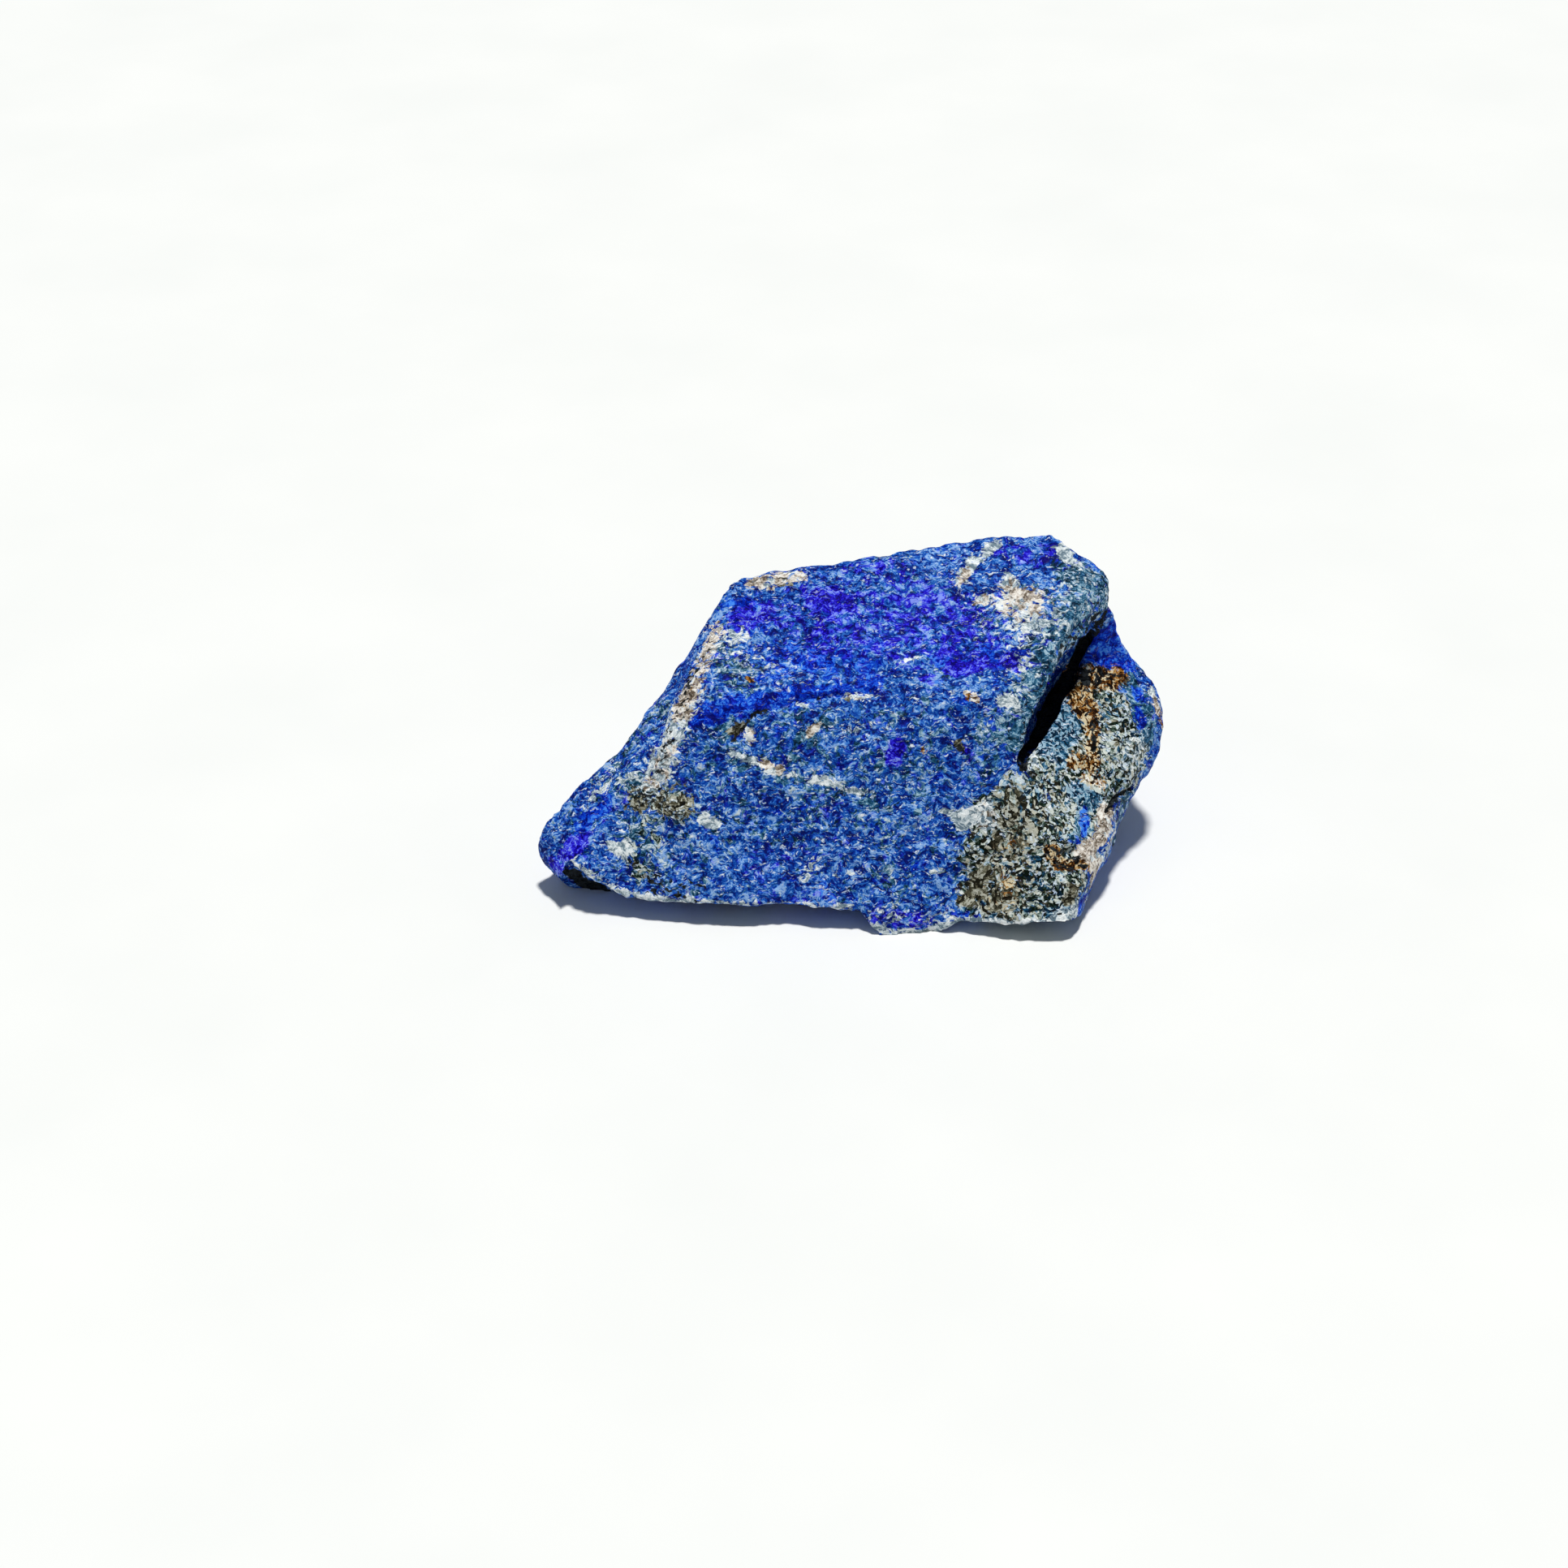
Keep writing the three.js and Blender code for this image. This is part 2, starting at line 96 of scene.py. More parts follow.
# ---- Zones ---------------------------------------------------------------------------------------
# A zone is a stroke over the surface: its points are pixels of the photograph (x, y), each set on
# the stone along the camera's ray, and its radius is in pixels too. WIDTH_OF_PIXEL turns it to mm.
# The slab is the big block at the left, with the toe at its end. A ledge crosses its flat front, and
# what lies below the ledge is the face. The layer is the granular block at the right, beyond the
# gap, and the horn is the blue facet behind it.
WIDTH_OF_PIXEL = 0.0555  # mm
WARP_SEED = 1  # of the wobble, which would differ in each run without it
WARP_SIZE = 1.3  # mm, spacing of the wobble of the zones' edges
WARP_REACH = 0.45
FINE_WARP_SIZE = 0.45
FINE_WARP_REACH = 0.16
FULL_WARP_RADIUS = 10.0  # pixels; a narrower stroke wobbles less

# Each stroke: (strength, radius, softness, points). Later zones read the amounts of earlier ones.
ZONES = {
    "granular": {
        "layer_shoulder": (1.00, 48, 0.35, [(1305, 945), (1350, 900), (1380, 930)]),
        "layer_top": (1.00, 40, 0.35, [(1345, 860), (1385, 930)]),
        "layer_middle": (1.00, 50, 0.35, [(1250, 1010), (1310, 985), (1340, 970)]),
        "layer_lower": (1.00, 52, 0.3, [(1240, 1060), (1290, 1080)]),
        "layer_foot": (1.00, 34, 0.4, [(1215, 1105), (1290, 1120)]),
        "left_vein_foot": (0.70, 20, 0.8, [(790, 985), (812, 982), (836, 992)]),
        "below_left_vein": (0.45, 30, 0.9, [(800, 1015), (798, 1065)]),
    },
    "violet": {
        "slab_field": (0.52, 60, 0.9, [(1010, 760), (1100, 775), (1190, 768)]),
        "slab_corner_left": (0.70, 17, 0.7, [(912, 764), (940, 750)]),
        "field_left": (0.78, 24, 0.8, [(1012, 738), (1038, 744)]),
        "field_right": (0.64, 32, 0.9, [(1125, 740), (1185, 757)]),
        "field_lower_right": (0.62, 22, 0.9, [(1178, 785), (1160, 800)]),
        "dot_left": (1.15, 11, 0.4, [(1174, 824), (1184, 820)]),
        "dot_middle": (1.15, 11, 0.4, [(1198, 818), (1212, 817)]),
        "dot_right": (1.15, 10, 0.4, [(1245, 812), (1250, 820)]),
        "ledge_dot": (0.80, 7, 0.6, [(1140, 838), (1149, 838)]),
        "slab_corner_right": (0.55, 16, 0.9, [(1235, 684), (1292, 680)]),
        "top_edge": (0.50, 20, 0.9, [(1050, 706), (1110, 696)]),
        "face_dot": (1.00, 11, 0.5, [(1098, 930), (1104, 920)]),
        "face_middle": (0.38, 18, 0.9, [(1010, 1000), (1030, 995)]),
        "face_lower_left": (0.30, 20, 0.9, [(925, 1062), (985, 1058)]),
        "toe_tip": (1.05, 13, 0.6, [(696, 1050), (714, 1038)]),
        "toe_top": (0.45, 10, 0.9, [(745, 1006), (768, 985)]),
        "toe_under": (1.00, 9, 0.6, [(680, 1068), (690, 1074)]),
        "foot_left": (0.40, 12, 0.9, [(940, 1108), (1020, 1112)]),
        "foot_middle": (0.55, 12, 0.9, [(1080, 1132), (1140, 1138)]),
        "face_right": (0.40, 12, 0.9, [(1190, 925), (1170, 900)]),
    },
    "bright": {
        "ledge_left": (1.00, 13, 0.6, [(862, 884), (905, 871), (935, 865)]),
        "ledge_middle": (0.90, 12, 0.7, [(935, 864), (1000, 854), (1065, 846), (1080, 840)]),
        "above_ledge": (0.60, 40, 0.9, [(960, 820), (1060, 815)]),
        "ledge_right": (0.85, 13, 0.7, [(1160, 815), (1226, 808), (1262, 812)]),
        "layer_outer_edge": (0.46, 11, 0.7, [(1394, 838), (1408, 866), (1410, 895)]),
        "horn_middle": (1.00, 20, 0.4, [(1372, 778), (1368, 806)]),
        "horn_left": (1.00, 10, 0.4, [(1358, 780), (1352, 806)]),
        "horn_foot": (1.00, 14, 0.5, [(1372, 815), (1388, 818)]),
        "layer_streak": (0.62, 8, 0.8, [(1340, 998), (1334, 1022), (1325, 1040)]),
        "layer_right": (0.60, 12, 0.7, [(1380, 990), (1400, 980)]),
        "foot_right": (0.55, 12, 0.8, [(1190, 1128), (1215, 1131)]),
        "corner_right": (0.60, 8, 0.7, [(1330, 1118), (1338, 1100)]),
        "slab_corner_left": (0.45, 30, 0.9, [(905, 760), (950, 760)]),
        "toe_top": (0.85, 10, 0.7, [(718, 1020), (746, 984)]),
        "foot_left": (0.34, 26, 0.9, [(930, 1092), (1080, 1104)]),
    },
    "grey": {
        "lower_face": (0.32, 120, 0.9, [(760, 1010), (900, 960), (1050, 980), (1130, 1040)]),
        "left_vein_foot": (0.60, 24, 0.8, [(778, 968), (815, 990), (836, 998)]),
        "below_left_vein": (0.60, 30, 0.8, [(800, 1012), (785, 1035), (800, 1070)]),
        "left_end": (0.45, 26, 0.8, [(700, 985), (760, 930), (815, 870)]),
        "beside_left_vein": (0.52, 26, 0.9, [(885, 805), (915, 828), (905, 850)]),
        "upper_right": (0.40, 30, 0.9, [(1205, 770), (1290, 735)]),
        "right_band_top": (0.90, 22, 0.6, [(1322, 705), (1352, 718), (1352, 748)]),
        "right_band_corner": (0.90, 14, 0.6, [(1345, 690), (1361, 710), (1364, 738)]),
        "right_band": (0.90, 24, 0.6, [(1330, 755), (1300, 800), (1276, 850), (1252, 905)]),
        "beside_band_lower": (0.50, 24, 0.8, [(1250, 860), (1215, 905), (1205, 940)]),
        "beside_band_upper": (0.50, 26, 0.8, [(1290, 770), (1262, 800)]),
        "above_ledge": (0.45, 14, 0.8, [(1140, 815), (1160, 825)]),
        "top_edge": (0.40, 14, 0.8, [(1085, 690), (1110, 684)]),
        "foot_left": (0.55, 14, 0.8, [(812, 1085), (850, 1098)]),
        "foot_middle": (0.50, 18, 0.8, [(1085, 1075), (1110, 1100)]),
        "layer_right_side": (0.90, 13, 0.7,
            [(1392, 985), (1376, 1030), (1364, 1080), (1352, 1112)]),
    },
    "white": {
        "left_vein_upper": (0.80, 14, 0.7, [(880, 775), (862, 832), (849, 862)]),
        "left_vein_lower": (0.95, 20, 0.6, [(848, 862), (830, 902), (815, 938), (806, 958)]),
        "left_vein_hook": (0.40, 18, 0.8, [(806, 958), (812, 985), (832, 1000)]),
        "left_vein_branch": (0.62, 10, 0.7, [(895, 786), (916, 778)]),
        "top_edge_vein": (0.85, 9, 0.6, [(930, 719), (962, 713), (990, 711)]),
        "patch": (0.90, 15, 0.5, [(1243, 722), (1255, 742), (1272, 735)]),
        "patch_left": (0.85, 10, 0.6, [(1210, 738), (1240, 746), (1275, 752)]),
        "top_streak_left": (0.80, 9, 0.6, [(1180, 714), (1194, 702), (1202, 690)]),
        "top_streak_right": (0.85, 7, 0.6, [(1214, 682), (1224, 672)]),
        # The corner strokes are partly pale rock and partly a painted highlight on the rounded top
        # corner.
        "corner_edge": (1.00, 10, 0.5, [(1307, 674), (1322, 690)]),
        "corner_edge_lower": (0.55, 13, 0.7, [(1322, 690), (1345, 708)]),
        "patch_right": (0.55, 12, 0.8, [(1288, 728), (1318, 722)]),
        "below_patch": (0.50, 10, 0.8, [(1258, 790), (1290, 776)]),
        "right_band_top": (0.25, 14, 0.8, [(1345, 720), (1330, 745)]),
        "patch_foot": (0.75, 13, 0.6, [(1255, 765), (1282, 772), (1296, 762)]),
        "patch_tail": (0.42, 22, 0.8, [(1245, 770), (1262, 800), (1255, 840)]),
        "patch_halo": (0.42, 30, 0.9, [(1215, 752), (1290, 748), (1325, 728)]),
        "beside_left_vein": (0.34, 24, 0.9, [(895, 800), (935, 815), (960, 835)]),
        "face_spot_right": (1.00, 9, 0.6, [(1234, 860), (1248, 866)]),
        "cream_spot": (1.00, 4.5, 0.5, [(1190, 853), (1206, 862)]),
        "field_streak": (0.62, 4, 0.7, [(1104, 814), (1118, 816), (1132, 813)]),
        "face_grain_middle": (1.00, 7, 0.5, [(995, 902), (1006, 896)]),
        "ledge_line_right": (0.90, 3.5, 0.5, [(1044, 857), (1060, 859), (1074, 854)]),
        "ledge_line_left": (0.80, 3, 0.5, [(983, 866), (997, 869)]),
        "crack_grain": (0.80, 7, 0.6, [(918, 900), (926, 912)]),
        "seam_start": (0.78, 6, 0.7, [(898, 929), (925, 933), (946, 947)]),
        "seam_knot": (1.00, 6, 0.5, [(946, 949), (960, 951)]),
        "seam": (0.74, 6, 0.8, [(975, 955), (1003, 960), (1027, 968), (1043, 972), (1078, 979)]),
        "seam_thick": (0.80, 7, 0.7, [(1000, 958), (1030, 968)]),
        "face_streak": (0.50, 5, 0.8, [(1028, 900), (1060, 895), (1093, 892)]),
        "toe_spot": (1.00, 10, 0.5, [(756, 1042), (770, 1046)]),
        "face_grain_left": (1.00, 7, 0.5, [(868, 1012), (880, 1014)]),
        "left_end_grain": (0.80, 6, 0.6, [(740, 975), (748, 970)]),
        "left_end_streak": (0.42, 12, 0.9, [(714, 1000), (738, 970), (760, 945)]),
        "left_end_spot": (0.85, 7, 0.6, [(768, 962), (780, 956)]),
        "foot_streak_left": (0.66, 10, 0.8, [(992, 1084), (1005, 1064)]),
        "foot_streak_middle": (0.45, 9, 0.8, [(1020, 1092), (1045, 1080)]),
        "foot_grain": (0.60, 5, 0.7, [(1150, 1076), (1162, 1072)]),
        "layer_tip": (1.15, 13, 0.6, [(1186, 1010), (1212, 1004), (1214, 1014)]),
        "layer_tip_left": (0.80, 6, 0.6, [(1162, 1000), (1185, 1008)]),
        "layer_vein_upper": (1.00, 12, 0.6, [(1366, 1000), (1360, 1020), (1348, 1044)]),
        "layer_vein_knot": (1.00, 12, 0.5, [(1350, 1042), (1334, 1052), (1350, 1062)]),
        "layer_vein_lower": (1.00, 10, 0.6, [(1354, 1062), (1350, 1082), (1342, 1104)]),
        "foot_corner": (1.00, 10, 0.5, [(1302, 1130), (1326, 1122)]),
        "layer_spot": (0.80, 8, 0.6, [(1340, 958), (1356, 962)]),
        "layer_outer_edge": (0.80, 6, 0.7, [(1419, 850), (1427, 872), (1430, 894)]),
        "layer_outer_side": (0.55, 16, 0.8, [(1405, 915), (1390, 950)]),
        "layer_right_side": (0.70, 9, 0.7, [(1376, 1012), (1366, 1050), (1356, 1090)]),
        "layer_right_spot": (0.60, 8, 0.7, [(1386, 978), (1398, 990)]),
        "gap_foot": (0.60, 10, 0.7, [(1275, 930), (1262, 952)]),
        # The rim strokes paint a highlight along the lower front edge and the toe's rim.
        "toe_rim": (0.85, 5, 0.6,
            [(703, 1062), (720, 1073), (735, 1083), (750, 1092), (765, 1101), (792, 1106)]),
        "rim_left": (1.00, 6, 0.6, [(792, 1106), (830, 1109), (852, 1110)]),
        "rim_middle": (0.66, 5, 0.7, [(852, 1110), (960, 1115), (1050, 1118)]),
        "rim_lowest": (0.85, 5, 0.6, [(1078, 1142), (1095, 1149), (1140, 1149)]),
        "rim_right": (1.00, 6, 0.5, [(1140, 1149), (1165, 1143), (1190, 1136), (1300, 1137)]),
        "along_ledge": (0.16, 40, 0.9, [(1000, 840), (1100, 860)]),
        "lower_face": (0.14, 60, 0.9, [(880, 1060), (1050, 1080)]),
        "above_lowest_rim": (0.44, 16, 0.9, [(1085, 1132), (1160, 1132)]),
    },
    "warm": {
        "left_vein_upper": (0.75, 20, 0.5, [(882, 775), (860, 835), (842, 875)]),
        "left_vein_lower": (0.45, 18, 0.6, [(830, 905), (806, 965)]),
        "top_edge_vein": (0.75, 14, 0.6, [(930, 719), (990, 711)]),
        "patch": (0.60, 30, 0.6, [(1215, 740), (1270, 740)]),
        "top_streak_left": (0.60, 11, 0.6, [(1178, 716), (1192, 706)]),
        "cream_spot": (1.00, 10, 0.5, [(1190, 853), (1204, 861)]),
        "ledge_line_right": (0.40, 8, 0.5, [(1042, 857), (1074, 856)]),
        "face_grain_middle": (1.00, 12, 0.5, [(995, 902), (1006, 896)]),
        "crack_grain": (0.55, 12, 0.6, [(918, 900), (926, 912)]),
        "seam_knot": (0.70, 10, 0.6, [(946, 949), (960, 951)]),
        "layer_face": (0.50, 24, 0.7, [(1250, 1000), (1245, 1100)]),
        "layer_vein": (0.85, 22, 0.6, [(1364, 1010), (1338, 1052), (1350, 1084)]),
        "layer_spot": (0.95, 14, 0.6, [(1340, 958), (1356, 962)]),
        "layer_outer_edge": (0.70, 8, 0.6, [(1424, 862), (1430, 890)]),
        "layer_tip": (0.40, 14, 0.6, [(1210, 1010), (1218, 1000)]),
    },
    "rust": {
        "below_horn_left": (1.00, 18, 0.6, [(1322, 842), (1332, 860), (1340, 872)]),
        "below_horn": (0.80, 16, 0.7, [(1345, 836), (1372, 834)]),
        "layer_streak": (0.90, 8, 0.6, [(1345, 884), (1348, 905), (1346, 930)]),
        "layer_cross": (0.75, 9, 0.6, [(1322, 938), (1350, 938)]),
        "layer_spot": (0.35, 12, 0.7, [(1335, 958), (1358, 962)]),
        "layer_hook": (0.95, 8, 0.6, [(1299, 1044), (1306, 1062), (1320, 1068), (1340, 1064)]),
        "layer_foot_spot": (0.55, 6, 0.6, [(1236, 1086), (1246, 1090)]),
        "slab_grain": (0.90, 3, 0.5, [(922, 835), (926, 838)]),
        "face_grain": (0.85, 3, 0.5, [(1137, 922), (1139, 928)]),
        "left_vein": (0.45, 5, 0.6, [(856, 845), (844, 872)]),
        "cream_spot": (0.50, 6, 0.6, [(1192, 856), (1206, 864)]),
        "layer_outer_edge": (0.40, 6, 0.6, [(1428, 870), (1430, 888)]),
        "layer_face": (0.30, 28, 0.8, [(1250, 1050), (1240, 1100)]),
    },
    "olive": {
        "layer_left": (0.62, 36, 0.7, [(1248, 1000), (1240, 1060), (1225, 1100)]),
        "layer_foot_edge": (0.95, 10, 0.6, [(1190, 1108), (1200, 1100), (1204, 1086)]),
        "corner_right": (1.00, 8, 0.5, [(1316, 1108), (1324, 1102)]),
        "left_vein_foot": (0.70, 18, 0.8, [(788, 988), (812, 985), (838, 992)]),
        "crack": (0.75, 7, 0.6, [(900, 900), (912, 891)]),
        "dark_grain": (0.85, 6, 0.5, [(1182, 914), (1184, 922)]),
        "top_streak_left": (0.32, 8, 0.7, [(1186, 700), (1196, 694)]),
        "top_edge_vein": (0.60, 7, 0.6, [(962, 716), (974, 718)]),
        "below_horn": (0.60, 14, 0.7, [(1350, 832), (1375, 840)]),
        "ledge_line_right": (0.40, 7, 0.8, [(1044, 862), (1066, 866)]),
    },
    "dark": {
        # The gap strokes paint shade into the gap between the slab and the layer.
        "gap_top": (1.00, 9, 0.4, [(1350, 764), (1336, 792), (1322, 820)]),
        "gap_rim": (0.85, 5, 0.6, [(1338, 784), (1350, 768), (1362, 754)]),
        "gap_middle": (1.00, 17, 0.3, [(1312, 842), (1294, 875), (1274, 908)]),
        "gap_foot": (1.00, 8, 0.4, [(1274, 908), (1263, 928), (1257, 940)]),
        # Painted shade in the hollow under the toe.
        "under_toe": (1.00, 9, 0.4, [(704, 1078), (716, 1087), (728, 1092), (744, 1097)]),
        "right_band": (0.36, 16, 0.8, [(1350, 740), (1322, 790), (1290, 845), (1262, 905)]),
        "right_band_corner": (0.38, 9, 0.8, [(1362, 708), (1364, 745)]),
        "layer_lower": (0.22, 60, 0.6, [(1245, 1040), (1290, 1090)]),
        "layer_upper": (0.16, 60, 0.7, [(1330, 910), (1370, 940)]),
        # Painted shade under the horn, beside the gap.
        "gap_side": (0.70, 10, 0.6, [(1320, 828), (1335, 836)]),
        "left_vein_foot": (0.45, 14, 0.8, [(788, 980), (812, 984), (838, 994)]),
        "foot_left": (0.40, 14, 0.7, [(812, 1088), (860, 1098)]),
        # The crack strokes are partly a dark crack and partly painted shade under the ledge's lip.
        "crack": (0.75, 3, 0.7, [(902, 914), (912, 900), (918, 892), (936, 874)]),
        "crack_tail": (0.36, 4, 0.8, [(936, 876), (960, 871), (985, 865), (1012, 861)]),
        "layer_hook": (0.60, 4, 0.7, [(1297, 1044), (1304, 1064), (1320, 1070)]),
        "layer_streak": (0.80, 3, 0.5, [(1348, 890), (1349, 925)]),
        "layer_crack": (0.90, 3, 0.5, [(1397, 972), (1376, 984), (1366, 1000)]),
        "dark_grain": (0.50, 8, 0.6, [(1182, 914), (1184, 922)]),
        "left_vein": (0.40, 12, 0.8, [(868, 790), (846, 862), (808, 960)]),
        "below_horn_left": (0.46, 18, 0.8, [(1325, 838), (1345, 868)]),
        "below_horn": (0.46, 12, 0.8, [(1340, 832), (1370, 834)]),
        "layer_hook_inside": (0.56, 8, 0.8, [(1300, 1050), (1340, 1064)]),
    },
    "teal": {
        "face": (0.35, 110, 0.8, [(930, 930), (1100, 930)]),
        "lower_face": (0.20, 90, 0.8, [(880, 1050), (1120, 1040)]),
        "right_band": (0.62, 24, 0.7, [(1350, 720), (1318, 775), (1282, 840), (1254, 905)]),
        "gap_side": (0.95, 24, 0.7, [(1316, 884), (1300, 922)]),
        "layer_middle": (0.85, 14, 0.7, [(1330, 978), (1350, 985)]),
        "layer_streak": (0.90, 12, 0.7, [(1340, 1000), (1325, 1034)]),
        "layer_outer_edge": (0.90, 16, 0.6, [(1392, 842), (1410, 870), (1414, 905)]),
        "foot_right": (0.50, 12, 0.8, [(1185, 1124), (1250, 1126), (1312, 1122)]),
        "gap_foot": (0.40, 20, 0.8, [(1270, 960), (1240, 985)]),
        "beside_band": (0.40, 30, 0.8, [(1230, 900), (1200, 940)]),
    },
}
# Each groove: (depth in mm, radius in pixels, points).
GROOVES = {
    "gap_foot": (0.50, 6.0, [(1276, 905), (1266, 923), (1259, 936)]),
    "gap_top": (0.60, 6.0, [(1349, 766), (1336, 792), (1322, 820)]),
    "layer_crack": (0.30, 3.0, [(1397, 972), (1376, 984), (1366, 1000)]),
    "crack": (0.22, 3.5, [(902, 914), (912, 900), (918, 892), (930, 880)]),
    "under_ledge": (0.16, 4.0, [(926, 881), (945, 873), (990, 863), (1040, 856), (1078, 851)]),
    "layer_hook": (0.14, 4.0, [(1301, 1040), (1306, 1062), (1320, 1070), (1340, 1061)]),
    "layer_tip": (0.10, 3.0, [(1244, 950), (1222, 975), (1195, 995)]),
    "layer_left_edge": (0.08, 4.0, [(1196, 1000), (1184, 1050), (1186, 1100)]),
}
# What every part of the surface has, and what the sides away from the camera add in patches.
BASE_AMOUNT = {  # a zone that isn't listed has none
    "violet": 0.16,
    "bright": 0.18,
    "grey": 0.16,
    "white": 0.12,
    "dark": 0.06,
    "teal": 0.12,
}
BLUE_ONLY = ("violet", "bright")  # what the granular rock has none of by itself
CLUSTER_SIZE = 2.6  # mm, over which the amounts swing
CLUSTER_SWING = 0.42
CLUSTER_CEILING = 1.5  # an amount as large as this doesn't swing
CLUSTER_STARTS = (2.3, 6.1, 0.7)  # the first is for each zone further down the list
HIDDEN_PATCHES = {  # (spacing in mm, level of the noise where it starts, strength)
    "grey": (7.0, 0.05, 0.62),
    "white": (3.4, 0.36, 0.70),
    "warm": (8.0, 0.05, 0.75),
    "violet": (5.5, 0.12, 0.50),
    "bright": (6.5, 0.08, 0.50),
    "rust": (3.0, 0.46, 0.62),
    "olive": (5.0, 0.34, 0.42),
    "dark": (2.6, 0.36, 0.30),
    "teal": (6.0, 0.00, 0.45),
}
HIDDEN_EDGE = 0.3  # of the noise, over which a patch comes in
HIDDEN_STARTS = (3.7, 1.9, 5.1)
VEIN_DIRECTION = np.array([0.78, 0.22, 0.58])  # across the thin veins of the hidden sides
VEIN_SPACING = 7.0  # mm
VEIN_WIDTH = 0.55
VEIN_SOFTNESS = (0.25, 0.75)  # of the width, from full to nothing
VEIN_STRENGTH = 0.85
VEIN_BEND = 2.2
VEIN_BEND_SIZE = 8.0
VEIN_BEND_START = (7.7, 2.2, 4.4)
VEIN_BREAK_SIZE = 5.0  # spacing of the stretches in which a vein shows
VEIN_BREAK_EDGE = (-0.1, 0.3)
VEIN_BREAK_START = (2.9, 8.3, 1.7)


def smoothstep(low, high, value):
    t = np.clip((value - low) / (high - low), 0.0, 1.0)
    return t * t * (3.0 - 2.0 * t)


def noise_at(points, size, start=(0.0, 0.0, 0.0)):
    """Noise of about -1 to 1 at each point in mm, with lumps about size apart."""
    scaled = points / size + np.array(start)
    return np.array([noise.noise(Vector(p)) for p in scaled])


def noise_vectors(points, size):
    """Three such numbers at each point, as the seed has them."""
    return np.array([noise.noise_vector(Vector(p)) for p in points / size])


# ---- The skin of the stone -----------------------------------------------------------------------
def triples(items, key):
    """The items' vectors, one to a row."""
    flat = np.empty(len(items) * 3, np.float32)
    items.foreach_get(key, flat)
    return flat.reshape(-1, 3).astype(float)


def coordinates(mesh):
    return triples(mesh.vertices, "co")


def normals(mesh):
    return triples(mesh.vertex_normals, "vector")


def remeshed(node):
    """A new object with the node's surface as a fine, even mesh."""
    skin = bpy.data.objects.new("stone_skin", node.data.copy())
    bpy.context.scene.collection.objects.link(skin)
    skin.data.materials.clear()
    remesh = skin.modifiers.new("even", "REMESH")
    remesh.mode = "VOXEL"
    remesh.voxel_size = VOXEL
    smooth = skin.modifiers.new("soften", "SMOOTH")
    smooth.factor = SMOOTHING
    smooth.iterations = SMOOTHING_ROUNDS
    graph = bpy.context.evaluated_depsgraph_get()
    mesh = bpy.data.meshes.new_from_object(skin.evaluated_get(graph))
    skin.modifiers.clear()
    skin.data = mesh
    return skin


def surface_point(tree, pixel):
    """The point of the stone that the photograph shows at a pixel, in mm."""
    right = Vector((1.0, 0.0, 0.0))
    up = BACK.cross(right)
    across, down = ((p - IMAGE_SIDE / 2) / IMAGE_SIDE * SENSOR / LENS for p in pixel)
    ray = (right * across - up * down - BACK).normalized()
    hit = tree.ray_cast(EYE, ray)[0]
    return None if hit is None else np.array(hit) / MM


def distance_to_stroke(points, stroke):
    """Distance of each point from a line through the stroke's points, all in mm."""
    nearest = np.full(len(points), np.inf)
    for a, b in zip(stroke[:-1], stroke[1:]):
        run = b - a
        along = np.clip((points - a) @ run / max(run @ run, 1e-9), 0.0, 1.0)
        gap = points - (a + along[:, None] * run)
        nearest = np.minimum(nearest, np.sqrt((gap * gap).sum(axis=1)))
    return nearest


def stroke_on(tree, pixels):
    """The points of the stone at these pixels, without those that miss it."""
    found = [surface_point(tree, pixel) for pixel in pixels]
    return [point for point in found if point is not None]


def zone_amounts(points, hidden, tree):
    """For each zone name, how much of it each point has, from 0 to about 1."""
    warped = points + WARP_REACH * noise_vectors(points, WARP_SIZE)
    warped = warped + FINE_WARP_REACH * noise_vectors(points, FINE_WARP_SIZE)
    amounts = {}
    for place, (name, strokes) in enumerate(ZONES.items()):
        amount = np.full(len(points), BASE_AMOUNT.get(name, 0.0))
        if name in BLUE_ONLY:
            amount = amount * (1.0 - amounts["granular"].clip(0.0, 1.0))
        if name == "white":
            clear = np.maximum(amounts["violet"], amounts["bright"]).clip(0.0, 1.0)
            amount = amount * (1.0 - clear)
        for strength, radius, softness, pixels in strokes.values():
            stroke = stroke_on(tree, pixels)
            if len(stroke) < 2:
                continue
            reach = radius * WIDTH_OF_PIXEL
            inner, outer = reach * (1.0 - softness), reach * (1.0 + softness)
            wobble = min(1.0, radius / FULL_WARP_RADIUS)
            space = points + wobble * (warped - points)
            cover = 1.0 - smoothstep(inner, outer, distance_to_stroke(space, stroke))
            amount = np.maximum(amount, strength * cover)
        step, *rest = CLUSTER_STARTS
        swing = noise_at(points, CLUSTER_SIZE, (step * place, *rest))
        amount = amount + CLUSTER_SWING * swing * amount * (CLUSTER_CEILING - amount)
        if name in HIDDEN_PATCHES:
            spacing, level, strength = HIDDEN_PATCHES[name]
            step, *rest = HIDDEN_STARTS
            patch = noise_at(warped, spacing, (step * place, *rest))
            cover = smoothstep(level, level + HIDDEN_EDGE, patch) * hidden
            amount = np.maximum(amount, strength * cover)
        amounts[name] = amount
    amounts["white"] = np.maximum(amounts["white"], hidden_veins(points, warped, hidden))
    return amounts


def hidden_veins(points, warped, hidden):
    """How much each point has of the thin white veins on the sides away from the camera."""
    bend = VEIN_BEND * noise_at(points, VEIN_BEND_SIZE, VEIN_BEND_START)
    across = (warped @ VEIN_DIRECTION + bend) / VEIN_SPACING
    gap = np.abs(across - np.round(across)) * VEIN_SPACING
    shown = smoothstep(*VEIN_BREAK_EDGE, noise_at(points, VEIN_BREAK_SIZE, VEIN_BREAK_START))
    inner, outer = (VEIN_WIDTH * share for share in VEIN_SOFTNESS)
    return VEIN_STRENGTH * ((1.0 - smoothstep(inner, outer, gap)) * shown * hidden)


